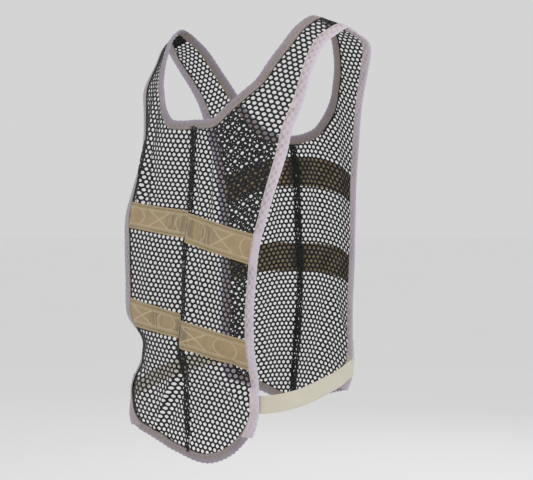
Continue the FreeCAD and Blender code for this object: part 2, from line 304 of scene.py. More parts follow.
def operate(obj, operator, **options):
    """Runs an edit-mode operator on what is picked."""
    only(obj)
    bpy.ops.object.mode_set(mode="EDIT")
    operator(**options)
    bpy.ops.object.mode_set(mode="OBJECT")


def coordinates(obj):
    co = np.empty(len(obj.data.vertices) * 3)
    obj.data.vertices.foreach_get("co", co)
    return co.reshape(-1, 3)


def move_to(obj, co):
    obj.data.vertices.foreach_set("co", np.ascontiguousarray(co, dtype=float).ravel())
    obj.data.update()


def apply(obj, kind, **values):
    """Adds a modifier and applies it."""
    only(obj)
    mod = obj.modifiers.new(kind.lower(), kind)
    for key, value in values.items():
        setattr(mod, key, value)
    bpy.ops.object.modifier_apply(modifier=mod.name)


def join(name, pieces):
    """Makes one object of several."""
    only(pieces[0])
    for other in pieces[1:]:
        other.select_set(True)
    bpy.ops.object.join()
    pieces[0].name = name
    return pieces[0]


def store(obj, **values):
    """Keeps a number for each point of a piece, which its material reads by name."""
    for label, numbers in values.items():
        layer = obj.data.attributes.new(label, "FLOAT", "POINT")
        layer.data.foreach_set("value", np.ascontiguousarray(numbers))


def plain_grid(name, n, m):
    """Flat square of n by m faces, from 0 to 1 both ways."""
    bpy.ops.object.select_all(action="DESELECT")
    bpy.ops.mesh.primitive_grid_add(x_subdivisions=n, y_subdivisions=m, size=1)
    obj = bpy.context.object
    obj.name = name
    co = coordinates(obj)
    co[:, :2] += 0.5
    move_to(obj, co)
    return obj


def flat_map(obj):
    """UV map of the flat cut, in metres."""
    layer = obj.data.uv_layers.active or obj.data.uv_layers.new(name="cut")
    layer.name = "cut"
    co = coordinates(obj)
    corner = np.empty(len(obj.data.loops), int)
    obj.data.loops.foreach_get("vertex_index", corner)
    layer.data.foreach_set("uv", (co[corner, :2] * MM).ravel())


def hang(obj, panel):
    """Takes a flat piece to its place on the back or front sheet."""
    flat_map(obj)
    co = coordinates(obj)
    move_to(obj, lifted(panel, co[:, 0], -co[:, 1], co[:, 2]) * MM)
    if panel == "front":
        operate(obj, bpy.ops.mesh.select_all, action="SELECT")
        operate(obj, bpy.ops.mesh.flip_normals)


def face_out(obj):
    """Turns the faces of every closed shell outwards."""
    operate(obj, bpy.ops.mesh.select_all, action="SELECT")
    operate(obj, bpy.ops.mesh.normals_make_consistent, inside=False)


def finish(obj, body, slot, material, *nodes, angle=50):
    """Smooths a piece, gives it its material and its body, and hides the CAD nodes it stands for.
    """
    only(obj)
    bpy.ops.object.shade_smooth_by_angle(angle=math.radians(angle))
    obj.data.materials.clear()
    obj.data.materials.append(material)
    if body:
        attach(obj, body)
    if nodes:
        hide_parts(*nodes)


def inside(x, s, ring):
    """Which places lie inside a closed ring of (x, s)."""
    hit = np.zeros(len(x), bool)
    for (x0, s0), (x1, s1) in zip(ring, np.roll(ring, -1, axis=0)):
        crosses = (s0 > s) != (s1 > s)
        with np.errstate(divide="ignore", invalid="ignore"):
            at = x0 + (s - s0) * (x1 - x0) / (s1 - s0)
        hit ^= crosses & (x < at)
    return hit


def cut_ring(panel, sign):
    """One half's cut edge, as if on the right, inside the bound edges."""
    def inner(path, inset, count):
        return np.column_stack(beside(path, np.linspace(0, length_of(path), count), inset))

    neck = inner(NECK[panel], NET_INSET, 60)
    side = inner(SIDE[panel], NET_INSET, 90)
    path = HEM[panel] if sign > 0 else tuple((-x, s) for x, s in reversed(HEM[panel]))
    hem = inner(path, -NET_INSET, 120)
    hem = hem[hem[:, 0] >= CENTRE_GAP][::-1]
    side = side[side[:, 1] < hem[0, 1]]
    ring = np.vstack([neck, side, hem])
    ring[:, 0] = np.maximum(ring[:, 0], CENTRE_GAP)
    ring[:, 1] = np.maximum(ring[:, 1], 0.2)
    return ring


# -------- materials

def group(name, inputs, outputs):
    """A new node group with its sockets, and its input and output nodes."""
    tree = bpy.data.node_groups.new(name, "ShaderNodeTree")
    for label, kind, value in inputs:
        socket = tree.interface.new_socket(label, in_out="INPUT", socket_type=kind)
        if value is not None:
            socket.default_value = value
    for label, kind in outputs:
        tree.interface.new_socket(label, in_out="OUTPUT", socket_type=kind)
    return tree, tree.nodes.new("NodeGroupInput"), tree.nodes.new("NodeGroupOutput")


def node(tree, kind, **values):
    made = tree.nodes.new(kind)
    for key, value in values.items():
        setattr(made, key, value)
    return made


def math_node(tree, operation, a, b=None, clamp=False):
    made = node(tree, "ShaderNodeMath", operation=operation, use_clamp=clamp)
    for socket, value in zip(made.inputs, (a, b)):
        if value is None:
            continue
        if isinstance(value, (int, float)):
            socket.default_value = value
        else:
            tree.links.new(value, socket)
    return made.outputs[0]


def mottle_group():
    """Slow colour drift and fine fibre noise over a cloth."""
    tree, get, out = group("mottle", (
        ("Vector", "NodeSocketVector", None), ("Patch Scale", "NodeSocketFloat", 30.0),
        ("Fibre Scale", "NodeSocketFloat", 900.0), ("Fibre Share", "NodeSocketFloat", 0.4)),
        (("Mask", "NodeSocketFloat"), ("Height", "NodeSocketFloat")))
    patches = node(tree, "ShaderNodeTexNoise")
    patches.inputs["Detail"].default_value = 3
    fibres = node(tree, "ShaderNodeTexNoise")
    fibres.inputs["Detail"].default_value = 2
    for tex, scale in ((patches, "Patch Scale"), (fibres, "Fibre Scale")):
        tree.links.new(get.outputs["Vector"], tex.inputs["Vector"])
        tree.links.new(get.outputs[scale], tex.inputs["Scale"])
    share = get.outputs["Fibre Share"]
    fine = math_node(tree, "MULTIPLY", fibres.outputs["Fac"], share)
    rest = math_node(tree, "SUBTRACT", 1.0, share)
    slow = math_node(tree, "MULTIPLY", patches.outputs["Fac"], rest)
    tree.links.new(math_node(tree, "ADD", fine, slow, clamp=True), out.inputs["Mask"])
    tree.links.new(fibres.outputs["Fac"], out.inputs["Height"])
    return tree


def crossed_group(name, output, wave, scaling, labels, defaults):
    """Two waves that cross on a flat cut, as one value from 0 to 1."""
    tree, get, out = group(name, (
        ("Vector", "NodeSocketVector", None), (labels[0], "NodeSocketFloat", defaults[0]),
        (labels[1], "NodeSocketFloat", defaults[1])), ((output, "NodeSocketFloat"),))
    split = node(tree, "ShaderNodeSeparateXYZ")
    tree.links.new(get.outputs["Vector"], split.inputs[0])
    waves = []
    for axis, label in zip("XY", labels):
        turn = math_node(tree, scaling, split.outputs[axis], get.outputs[label])
        waves.append(math_node(tree, wave, math_node(tree, "MULTIPLY", turn, 2 * math.pi)))
    both = math_node(tree, "MULTIPLY", waves[0], waves[1])
    level = math_node(tree, "ADD", math_node(tree, "MULTIPLY", both, 0.5), 0.5)
    tree.links.new(level, out.inputs[output])
    return tree


def weave_group():
    """Plain weave on a flat cut: the height of its crossing threads."""
    return crossed_group("weave", "Height", "SINE", "MULTIPLY", ("Warp", "Weft"),
                         (1200.0, 1200.0))


def cells_group():
    """The mesh's cells on a flat cut: 1 in the middle of a hole, 0 on the strands."""
    return crossed_group("cells", "Hole", "COSINE", "DIVIDE", ("Across", "Down"),
                         (MESH_ACROSS * MM, MESH_DOWN * MM))


GROUPS = {"mottle": mottle_group(), "weave": weave_group(), "cells": cells_group()}


def place_group(tree, name, vector, **values):
    """Puts a shared group in a material, with the material's own values."""
    made = node(tree, "ShaderNodeGroup", node_tree=GROUPS[name])
    tree.links.new(vector, made.inputs["Vector"])
    for key, value in values.items():
        made.inputs[key.replace("_", " ")].default_value = value
    return made


def mottled(tree, coords, patch, fibre, share):
    """The shared mottle on a material, fixed to the object."""
    return place_group(tree, "mottle", coords.outputs["Object"], Patch_Scale=patch,
                       Fibre_Scale=fibre, Fibre_Share=share)


def mix(tree, factor, low, high):
    """Colour from low to high as the factor goes from 0 to 1."""
    made = node(tree, "ShaderNodeMix", data_type="RGBA")
    tree.links.new(factor, made.inputs["Factor"])
    for socket, value in ((made.inputs["A"], low), (made.inputs["B"], high)):
        if isinstance(value, tuple):
            socket.default_value = (*value, 1)
        else:
            tree.links.new(value, socket)
    return made.outputs["Result"]


def spread(tree, value, low, high):
    """Value from low to high as the input goes from 0 to 1."""
    made = node(tree, "ShaderNodeMapRange")
    tree.links.new(value, made.inputs["Value"])
    made.inputs["To Min"].default_value = low
    made.inputs["To Max"].default_value = high
    return made.outputs[0]


def new_material(name):
    made = bpy.data.materials.new(name)
    made.use_nodes = True
    tree = made.node_tree
    shader = tree.nodes["Principled BSDF"]
    coords = node(tree, "ShaderNodeTexCoord")
    return made, tree, shader, coords


def bump(tree, shader, height, strength, distance):
    made = node(tree, "ShaderNodeBump")
    made.inputs["Strength"].default_value = strength
    made.inputs["Distance"].default_value = distance
    tree.links.new(height, made.inputs["Height"])
    tree.links.new(made.outputs[0], shader.inputs["Normal"])


def yarn_material():
    """Black texturised polyester yarn of the knitted net."""
    made, tree, shader, coords = new_material("black_net_yarn")
    mottle = mottled(tree, coords, 60, 2600, 0.7)
    colour = mix(tree, mottle.outputs["Mask"], (0.004, 0.004, 0.005), (0.022, 0.022, 0.026))
    tree.links.new(colour, shader.inputs["Base Color"])
    tree.links.new(spread(tree, mottle.outputs["Mask"], 0.62, 0.9), shader.inputs["Roughness"])
    shader.inputs["Specular IOR Level"].default_value = 0.3
    shader.inputs["Sheen Weight"].default_value = 0.08
    bump(tree, shader, mottle.outputs["Height"], 0.5, 0.0002)
    return made


def named(tree, attribute):
    """The number stored on a piece under this name."""
    return node(tree, "ShaderNodeAttribute", attribute_name=attribute).outputs["Fac"]


def binding_material(name, dim, pale, fold):
    """Satin binding with painted light along its fold, lighter and bluer there; the net inside
    shows as darker spots.
    """
    made, tree, shader, coords = new_material(name)
    cells = place_group(tree, "cells", coords.outputs["UV"])
    weave = place_group(tree, "weave", coords.outputs["UV"], Warp=1500, Weft=1100)
    mottle = mottled(tree, coords, 45, 1500, 0.25)
    cloth = mix(tree, mottle.outputs["Mask"], dim, pale)
    rim = math_node(tree, "POWER", named(tree, "rim"), 2.0)
    # Painted light: the fold, and the end of a proud tab, take the lighter, bluer colour of a lit
    # turned edge.
    cloth = mix(tree, math_node(tree, "MULTIPLY", rim, 0.85), cloth, fold)
    spot = spread(tree, cells.outputs["Hole"], 0.95, -0.55)
    uneven = spread(tree, mottle.outputs["Mask"], 1.5, -0.3)
    spot = math_node(tree, "MULTIPLY", spot, uneven, clamp=True)
    hidden = math_node(tree, "MAXIMUM", named(tree, "plain"), rim)
    bare = math_node(tree, "SUBTRACT", 1.0, hidden, clamp=True)
    shade = mix(tree, math_node(tree, "MULTIPLY", spot, bare), cloth, (0.215, 0.18, 0.20))
    tree.links.new(shade, shader.inputs["Base Color"])
    tree.links.new(spread(tree, mottle.outputs["Mask"], 0.55, 0.38), shader.inputs["Roughness"])
    shader.inputs["Sheen Weight"].default_value = 0.2
    shader.inputs["Sheen Roughness"].default_value = 0.4
    height = math_node(tree, "ADD", math_node(tree, "MULTIPLY", cells.outputs["Hole"], -0.8),
                       math_node(tree, "MULTIPLY", weave.outputs["Height"], 0.3))
    bump(tree, shader, height, 0.4, 0.0005)
    return made


def tape_material():
    """Coated tape: olive cream and cloudy, with painted shade in its crease troughs, and paler
    weld lines.
    """
    made, tree, shader, coords = new_material("coated_tape")
    mottle = mottled(tree, coords, 95, 700, 0.3)
    weave = place_group(tree, "weave", coords.outputs["UV"], Warp=700, Weft=700)
    cloth = mix(tree, mottle.outputs["Mask"], (0.25, 0.175, 0.085), (0.50, 0.365, 0.19))
    # The darkest colour is painted shade in the crease troughs.
    for mark, strength, colour in (("thin", 0.6, (0.14, 0.115, 0.075)),
                                   ("margin", 0.5, (0.42, 0.32, 0.18)),
                                   ("weld", 0.75, (0.62, 0.52, 0.34))):
        share = math_node(tree, "MULTIPLY", named(tree, mark), strength)
        cloth = mix(tree, share, cloth, colour)
    tree.links.new(cloth, shader.inputs["Base Color"])
    tree.links.new(spread(tree, mottle.outputs["Mask"], 0.36, 0.55), shader.inputs["Roughness"])
    shader.inputs["Coat Weight"].default_value = 0.2
    shader.inputs["Coat Roughness"].default_value = 0.35
    bump(tree, shader, weave.outputs["Height"], 0.25, 0.0002)
    return made


def elastic_material():
    """Cream ribbed elastic."""
    made, tree, shader, coords = new_material("ribbed_elastic")
    weave = place_group(tree, "weave", coords.outputs["UV"], Warp=500, Weft=900)
    mottle = mottled(tree, coords, 40, 1400, 0.4)
    cloth = mix(tree, mottle.outputs["Mask"], (0.57, 0.53, 0.415), (0.76, 0.72, 0.61))
    ribs = math_node(tree, "MULTIPLY", weave.outputs["Height"], 0.25)
    cloth = mix(tree, ribs, cloth, (0.50, 0.48, 0.37))
    tree.links.new(cloth, shader.inputs["Base Color"])
    tree.links.new(spread(tree, mottle.outputs["Mask"], 0.6, 0.8), shader.inputs["Roughness"])
    shader.inputs["Sheen Weight"].default_value = 0.2
    bump(tree, shader, weave.outputs["Height"], 0.6, 0.0004)
    return made


def thread_material(name, low, high):
    """Sewing thread."""
    made, tree, shader, coords = new_material(name)
    mottle = mottled(tree, coords, 90, 4000, 0.6)
    tree.links.new(mix(tree, mottle.outputs["Mask"], low, high), shader.inputs["Base Color"])
    tree.links.new(spread(tree, mottle.outputs["Mask"], 0.45, 0.7), shader.inputs["Roughness"])
    bump(tree, shader, mottle.outputs["Height"], 0.4, 0.0001)
    return made


def plain_material(name, colour):
    """Matt painted floor, very slightly uneven."""
    made, tree, shader, coords = new_material(name)
    mottle = mottled(tree, coords, 1.5, 60, 0.2)
    darker = tuple(c * 0.97 for c in colour)
    tree.links.new(mix(tree, mottle.outputs["Mask"], darker, colour), shader.inputs["Base Color"])
    shader.inputs["Roughness"].default_value = 0.9
    return made


YARN = yarn_material()
# One satin binding in lit and shaded copies: the right side's is painted lit, the neck's and hem's
# are painted in shade, and the left side's lies between them.
BINDING = binding_material("satin_binding", (0.29, 0.25, 0.25), (0.50, 0.44, 0.45),
                           (0.40, 0.37, 0.53))
LIT_BINDING = binding_material("lit_satin_binding", (0.50, 0.42, 0.43), (0.76, 0.67, 0.69),
                                (0.62, 0.56, 0.68))
SHADED_BINDING = binding_material("shaded_satin_binding", (0.205, 0.165, 0.145),
                                  (0.365, 0.295, 0.26), (0.35, 0.32, 0.44))
SIDE_BINDING = {"right": LIT_BINDING, "left": BINDING}
TAPE = tape_material()
ELASTIC = elastic_material()
BIND_THREAD = thread_material("pale_thread", (0.36, 0.34, 0.40), (0.56, 0.54, 0.62))
TAPE_THREAD = thread_material("tan_thread", (0.13, 0.11, 0.07), (0.22, 0.19, 0.12))


# -------- the net

def mesh_field(name, x0, x1, y0, y1):
    """Flat knitted mesh over a rectangle: one cell, copied in staggered rows."""
    point = MESH_DOWN / 2 - MESH_SIDE / 2
    radius = MESH_ACROSS / math.sqrt(3)
    bpy.ops.object.select_all(action="DESELECT")
    bpy.ops.mesh.primitive_circle_add(vertices=6, radius=radius, fill_type="NGON")
    obj = bpy.context.object
    obj.name = name
    for tip, wanted, now in ((False, MESH_SIDE / 2, radius / 2), (True, point, radius)):
        edit(obj, "VERT")
        for vertex in obj.data.vertices:
            vertex.select = (abs(vertex.co.x) < radius * 0.1) == tip
        operate(obj, bpy.ops.transform.resize, value=(1, wanted / now, 1),
                center_override=(0, 0, 0))
    edit(obj, "FACE")
    obj.data.polygons[0].select = True
    operate(obj, bpy.ops.mesh.inset, thickness=MESH_STRAND, depth=0)
    operate(obj, bpy.ops.mesh.delete, type="FACE")
    for step, count in (((MESH_ACROSS / 2, MESH_DOWN / 2, 0), 2),
                        ((MESH_ACROSS, 0, 0), int((x1 - x0) / MESH_ACROSS) + 2),
                        ((0, MESH_DOWN, 0), int((y1 - y0) / MESH_DOWN) + 2)):
        apply(obj, "ARRAY", count=count, use_relative_offset=False, use_constant_offset=True,
              constant_offset_displace=step, use_merge_vertices=True, merge_threshold=0.02)
    co = coordinates(obj)
    co[:, 0] += x0
    co[:, 1] += y0
    move_to(obj, co)
    return obj


def turned(x, y, degrees):
    """x and y turned anticlockwise about the origin."""
    a = math.radians(degrees)
    return x * math.cos(a) - y * math.sin(a), x * math.sin(a) + y * math.cos(a)


def cut_mesh(name, ring, turn, squeeze):
    """Mesh laid at an angle to the grain, drawn together across, and cut to a ring of (x, s)."""
    rx, ry = turned(ring[:, 0] / squeeze, -ring[:, 1], -turn)
    net = mesh_field(name, rx.min() - 8, rx.max() + 4, ry.min() - 8, ry.max() + 4)
    co = coordinates(net)
    x, y = turned(co[:, 0], co[:, 1], turn)
    co[:, 0] = squeeze * x + 0.6 * np.sin(y / 37 + turn) + 0.35 * np.sin(x / 19 + y / 53)
    co[:, 1] = y + 0.8 * np.sin(x / 31 + 2 * turn) + 0.35 * np.sin(y / 23 - x / 41)
    move_to(net, co)
    edit(net, "FACE")
    centre = np.array([p.center[:2] for p in net.data.polygons])
    net.data.polygons.foreach_set("select", ~inside(centre[:, 0], -centre[:, 1], ring))
    operate(net, bpy.ops.mesh.delete, type="FACE")
    return net


def net_panel(panel, hand):
    """One half of the back or front, of open net."""
    sign = SIGN[hand]
    ring = cut_ring(panel, sign)
    ring[:, 0] *= sign
    turn, squeeze = GRAIN[panel, hand]
    net = cut_mesh("%s_net_%s" % (panel, hand), ring, turn, squeeze)
    co = coordinates(net)
    co[:, 1] = np.minimum(co[:, 1], -SPLIT_GAP)
    move_to(net, co)
    apply(net, "SOLIDIFY", thickness=NET_T, offset=0)
    apply(net, "SUBSURF", levels=1, render_levels=1)
    hang(net, panel)
    finish(net, panel, "net", YARN, "%s_panel_%s" % (panel, hand))


# -------- bindings

def slow_wave(d):
    """The slow unevenness of a sewn strip, d millimetres along it."""
    return np.sin(d / 29 + 1.1) + 0.6 * np.sin(d / 13.0 + 0.4)


def fold_over(obj, spot, first, last, pucker=1.0, width=BIND_W, swell=0.0, slant=0.0, plain=()):
    """Bends a flat grid into a tape folded over an edge, from first to last along it.

    spot(d, o) gives its (x, s). It fans out to width, stands swell prouder, ends at a slant, and
    is plain where other cloth lies behind it.
    """
    co = coordinates(obj)
    q = 2 * co[:, 1] - 1
    edge = 1 - np.abs(q)
    d = first + (last + slant * (1 - edge) - first) * co[:, 0]
    wave = (np.sin(2 * math.pi * d / 7.3 + 1.3 * np.sin(d / 41))
            + 0.5 * np.sin(2 * math.pi * d / 3.9 + d / 17))
    slow = slow_wave(d)
    fine = 0.16 * np.sin(2 * math.pi * d / 5.1 + 2 * np.sin(d / 23))
    fan = 1 + (width / BIND_W - 1) * co[:, 0] ** 2
    o = BIND_W * fan * np.abs(q) - edge ** 2 * pucker * (0.5 * wave + 0.35 * slow)
    h = (BIND_T / 2 + swell) * np.tanh(q / 0.09) * (1 + 0.10 * pucker * wave)
    h += pucker * (0.30 * slow + fine) * (0.3 + 0.7 * edge)
    x, s = spot(d, o)
    move_to(obj, np.column_stack([x, -s, h]))
    flat = np.zeros(len(d))
    for low, high in plain:
        flat = np.maximum(flat, 1 / (1 + np.exp(-(np.minimum(s - low, high - s)) / 0.8)))
    # rim marks the fold, and the end of a proud tab, where the binding's painted light goes; the
    # net's spots are kept off it.
    rim = np.maximum(edge, (swell > 0.6) * bell(co[:, 0], 0, 0.035))
    store(obj, rim=rim, plain=np.clip(flat + swell, 0, 1))


def settle(obj, panel):
    """Gives a folded strip its cloth's thickness and hangs it."""
    apply(obj, "SOLIDIFY", thickness=BIND_CLOTH, offset=0)
    hang(obj, panel)


def strip_spot(path, hand=1, above=False):
    """spot(d, o) beside a path, on the right or the left half."""
    def spot(d, o):
        x, s = beside(path, d, -o if above else o)
        return hand * x, np.maximum(s, 0.1)
    return spot


def join_lap(tape, spot, d):
    """Where one length of binding ends over the next: a short second thickness."""
    lap = plain_grid("join", 12, FACES_ROUND)
    fold_over(lap, spot, d, d + 11, pucker=0.4, swell=0.55, slant=1.5)
    join(tape.name, [tape, lap])


def distance_to(path, s):
    """How far along a path its s is nearest to this one."""
    d = np.linspace(0, length_of(path), 600)
    return float(d[np.argmin(np.abs(along(path, d)[:, 1] - s))])


def long_strip(name, path):
    """Flat grid for a binding as long as a path, and the path's length."""
    run = length_of(path)
    return plain_grid(name, int(run / FACE_RUN), FACES_ROUND), run


def neck_binding(panel):
    """One strip right round the neck's edge."""
    path = whole(NECK[panel])
    tape, run = long_strip("%s_neck_tape" % panel, path)
    fold_over(tape, strip_spot(path), 1.0, run - 1.0, pucker=0.55)
    if panel == "back":
        join_lap(tape, strip_spot(path), run / 2 + distance_to(NECK[panel], 119))
    settle(tape, panel)
    finish(tape, panel, "binding", SHADED_BINDING, "%s_neck_binding" % panel)


def side_binding(panel, hand):
    """A strip down the side's edge, lapped by a second one that ends in a slanted tab."""
    sign = SIGN[hand]
    path = SIDE[panel]
    covered = [(top - 1, low + 1) for name, (_, _, top, low) in TAPES[panel].items()
               if name.endswith(hand)]
    tape, run = long_strip("%s_side_tape_%s" % (panel, hand), path)
    fold_over(tape, strip_spot(path, sign), 1.0, run - TAB_COVER, pucker=0.5, plain=covered)
    tab = TAB[panel]
    lap = plain_grid("lap", 60, FACES_ROUND)
    fold_over(lap, strip_spot(tab, sign), 0, length_of(tab) - 8, pucker=0.4, width=TAB_FLARE,
              swell=0.75, slant=9)
    if (panel, hand) == ("back", "right"):
        join_lap(tape, strip_spot(path, sign), distance_to(path, 146))
    join(tape.name, [tape, lap])
    settle(tape, panel)
    finish(tape, panel, "binding", SIDE_BINDING[hand], "%s_side_binding_%s" % (panel, hand))


def hem_binding(panel):
    """One strip round the hem, its ends under the tabs."""
    path = HEM[panel]
    tape, run = long_strip("%s_hem_tape" % panel, path)
    fold_over(tape, strip_spot(path, above=True), 1, run - 1)
    settle(tape, panel)
    finish(tape, panel, "binding", SHADED_BINDING, "%s_hem_binding" % panel)


# -------- tapes

CROSSES = {  # where the welded crosses lie, from the centre seam
    "back": {"upper_right": 57, "upper_left": 49.5, "lower_right": 21, "lower_left": 72},
    "front": {"upper_right": 40, "upper_left": 62, "lower_right": 66, "lower_left": 30}}
WELD_REPEAT = 86
WELD_INSET = 7         # the lines keep this far inside the tape's edges


def weld_lines(u, v, half, cross):
    """1 on the welded lines of the tape, falling to 0 beside them."""
    r = np.abs((u - cross + WELD_REPEAT / 2) % WELD_REPEAT - WELD_REPEAT / 2)
    slope = half / 17.0
    off = np.abs(r * slope - np.abs(v)) / math.hypot(slope, 1)
    off = np.where(r < 19, off, 9.0)
    bow = np.abs(r - 28 - 7 * (v / half) ** 2)
    return np.exp(-(np.minimum(off, bow) / 0.7) ** 2) * (np.abs(v) < half)


def tape_spot(panel, name):
    """spot(a, b) on a tape: a from the centre seam outwards, b from its top edge to its lower."""
    top_in, low_in, top_out, low_out = TAPES[panel][name]
    sign = 1 if name.endswith("right") else -1
    x_top = edge_x(panel, top_out, BIND_W - 2.5)
    x_low = edge_x(panel, low_out, BIND_W - 2.5)

    def spot(a, b):
        x = 0.5 + (x_top + (x_low - x_top) * b - 0.5) * a
        inner = top_in + (low_in - top_in) * b
        outer = top_out + (low_out - top_out) * b
        return sign * x, inner + (outer - inner) * a
    return spot


def tape_band(panel, name):
    """One sewn tape, from the centre seam to the side binding."""
    top_in, low_in, top_out, _ = TAPES[panel][name]
    width = low_in - top_in
    band = plain_grid("%s_tape_%s" % (panel, name), 200, 52)
    co = coordinates(band)
    x, s = tape_spot(panel, name)(co[:, 0], co[:, 1])
    cross = CROSSES[panel][name]
    u, v = np.abs(x), (co[:, 1] - 0.5) * width
    to_edge = width / 2 - np.abs(v)
    margin = 1 / (1 + np.exp((to_edge - 6.0) / 0.35))
    ridge = bell(to_edge, 6.6, 0.5)
    weld = weld_lines(u, v, width / 2 - WELD_INSET, cross)
    weld = np.maximum(weld, 0.8 * ridge)
    # Vertical creases, gathered beside the arcs; their troughs, and a strip close beside the
    # centre seam, are painted in shade.
    gather = bell(u, cross - 24, 13) + 0.5 * bell(u, 9, 6)
    wander = 1.7 * np.sin(v / 8 + u / 9) + 0.7 * np.sin(v / 2.6)
    crease = np.sin(u / 0.9 + wander) * np.sin(u / 3.3 + v / 11)
    ripple = 0.20 * np.sin(u / 6.3 + 1.5 * np.sin(v / 9)) + 0.30 * gather * crease
    h = TAPE_LIFT + 0.22 * margin + 0.10 * ridge + 0.24 * weld + ripple * (1 - margin)
    h += over_seam(u) + 0.30 * np.sin(u / 11 + 1) * (to_edge < 3)
    # Painted shade: the tape is darker in its crease troughs and close beside the centre seam.
    thin = np.clip(gather * (0.5 - crease) + 0.9 * bell(u, 7, 4), 0, 1) * (1 - margin)
    move_to(band, np.column_stack([x, -s, h]))
    store(band, weld=weld, margin=margin, thin=thin)
    apply(band, "SOLIDIFY", thickness=TAPE_CLOTH, offset=0)
    hang(band, panel)
    finish(band, panel, "tape", TAPE, "%s_band_%s" % (panel, name))


# -------- stitches, seams, straps

def stitch_row(name, run, step, size):
    """A row of stitches along X, each a slim rounded bar."""
    bpy.ops.object.select_all(action="DESELECT")
    bpy.ops.mesh.primitive_cylinder_add(vertices=6, radius=size, depth=step * 0.72,
                                        rotation=(0, math.pi / 2, 0), location=(step / 2, 0, 0))
    row = bpy.context.object
    bpy.ops.object.transform_apply(location=True, rotation=True, scale=True)
    row.name = name
    edit(row, "FACE")
    for face in row.data.polygons:
        face.select = abs(face.normal.x) > 0.9
    operate(row, bpy.ops.mesh.inset, thickness=size * 0.45, depth=size * 0.5)
    apply(row, "ARRAY", count=max(int(run / step), 1), use_relative_offset=False,
          use_constant_offset=True, constant_offset_displace=(step, 0, 0))
    return row


def over_seam(u):
    """Height that carries a tape over the centre seam, u millimetres from the centre line."""
    return 2.2 * bell(u, 0, 9, 4)


def binding_stitches(panel):
    """The row of stitches near the inner edge of every binding."""
    at = BIND_W - 2.2
    rows = []
    for label, path, hand, above, trim in (
            ("neck", whole(NECK[panel]), 1, False, 2), ("right", SIDE[panel], 1, False, 2),
            ("left", SIDE[panel], -1, False, 2), ("hem", HEM[panel], 1, True, 46)):
        run = length_of(path) - (TAB_COVER - 2 if path is SIDE[panel] else 0)
        row = stitch_row(label, run - 2 * trim, STITCH, STITCH_THREAD)
        spot = strip_spot(path, hand, above)
        co = coordinates(row)
        x, s = spot(trim + co[:, 0], at + co[:, 1])
        d = trim + co[:, 0]
        lift = BIND_T / 2 + 0.3 + 0.132 * slow_wave(d)
        move_to(row, np.column_stack([x, -s, co[:, 2] + lift]))
        rows.append(row)
    made = join("%s_binding_stitches" % panel, rows)
    hang(made, panel)
    face_out(made)
    finish(made, panel, "thread", BIND_THREAD, "%s_binding_stitching" % panel)


def band_stitches(panel):
    """Stitches along both long edges of every tape, and down its outer end."""
    rows = []
    for name, (top_in, low_in, top_out, low_out) in TAPES[panel].items():
        spot = tape_spot(panel, name)
        width = low_in - top_in
        run = edge_x(panel, top_out, BIND_W) - 3
        for side in (3.0 / width, 1 - 3.0 / width):
            row = stitch_row(name, run, TAPE_STITCH, TAPE_STITCH_THREAD)
            co = coordinates(row)
            u = 2 + co[:, 0]
            x, s = spot(u / (run + 3), side + co[:, 1] / width)
            h = co[:, 2] + TAPE_LIFT + 0.47 + over_seam(u)
            move_to(row, np.column_stack([x, -s, h]))
            rows.append(row)
        end = stitch_row(name, width - 7, TAPE_STITCH, TAPE_STITCH_THREAD)
        co = coordinates(end)
        x, s = spot(1 - (2.2 + co[:, 1]) / run, (3.5 + co[:, 0]) / width)
        move_to(end, np.column_stack([x, -s, co[:, 2] + TAPE_LIFT + 0.4]))
        rows.append(end)
    made = join("%s_tape_stitches" % panel, rows)
    hang(made, panel)
    face_out(made)
    finish(made, panel, "thread", TAPE_THREAD, "%s_band_stitching" % panel)


def centre_seam(panel):
    """The two halves' allowances: layers of drawn-together net, wider where a fold joins them."""
    hem_x, hem_s = zip(*HEM[panel])
    top = NECK[panel][0][1] + BIND_W - 3
    bottom = np.interp(0, hem_x, hem_s) - BIND_W + 3
    s = np.linspace(top, bottom, 60)
    half = 5.4 + 0.5 * np.sin(s / 21)
    if panel == "back":
        half += 3.2 * bell(s, 462, 26) - 3.3 / (1 + np.exp((522 - s) / 12))
    middle = 0.5 + 0.6 * np.sin(s / 26)
    ring = np.vstack([np.column_stack([middle + half, s]),
                      np.column_stack([middle - half, s])[::-1]])
    layers = []
    for turn, lift in ((9, 0.8), (-14, 1.4), (3, 2.0)):
        layer = cut_mesh("layer", ring, turn, 0.5)
        co = coordinates(layer)
        tucked = bell(co[:, 1], top, 9) + bell(co[:, 1], bottom, 9)
        co[:, 2] = (lift + 0.2 * np.sin(co[:, 1] / 17 + turn)) * (1 - 0.7 * tucked)
        move_to(layer, co)
        layers.append(layer)
    seam = join("%s_seam" % panel, layers)
    apply(seam, "SOLIDIFY", thickness=0.7, offset=0)
    apply(seam, "SUBSURF", levels=1, render_levels=1)
    hang(seam, panel)
    finish(seam, panel, "seam", YARN, "%s_centre_seam" % panel)


def shoulder_seam(hand):
    """The seam allowance just behind the shoulder split."""
    sign = SIGN[hand]
    seam = plain_grid("shoulder_strip_%s" % hand, 24, 10)
    co = coordinates(seam)
    x0, x1 = NECK["back"][-1][0] + BIND_W - 2, SIDE["back"][0][0] - BIND_W + 1
    x = x0 + (x1 - x0) * co[:, 0]
    s = 4 + 8 * co[:, 1]
    q = 2 * co[:, 1] - 1
    h = 0.85 + 0.35 * (1 - q ** 2) + 0.15 * np.sin(x * 1.9)
    move_to(seam, np.column_stack([sign * x, -s, h]))
    apply(seam, "SOLIDIFY", thickness=0.6, offset=0)
    hang(seam, "back")
    finish(seam, "back", "seam", YARN, "shoulder_seam_%s" % hand)


def over_shoulder(x, t, off):
    """Points across the shoulder split, t millimetres down the front, or down the back below 0."""
    total = 0
    for step in (-2, -1, 0, 1, 2):
        at = t + 0.9 * step
        behind = lifted("back", x, np.maximum(-at, 0.05), off)
        before = lifted("front", x, np.maximum(at, 0.05), off)
        total = total + np.where((at < 0)[:, None], behind, before)
    return total / 5


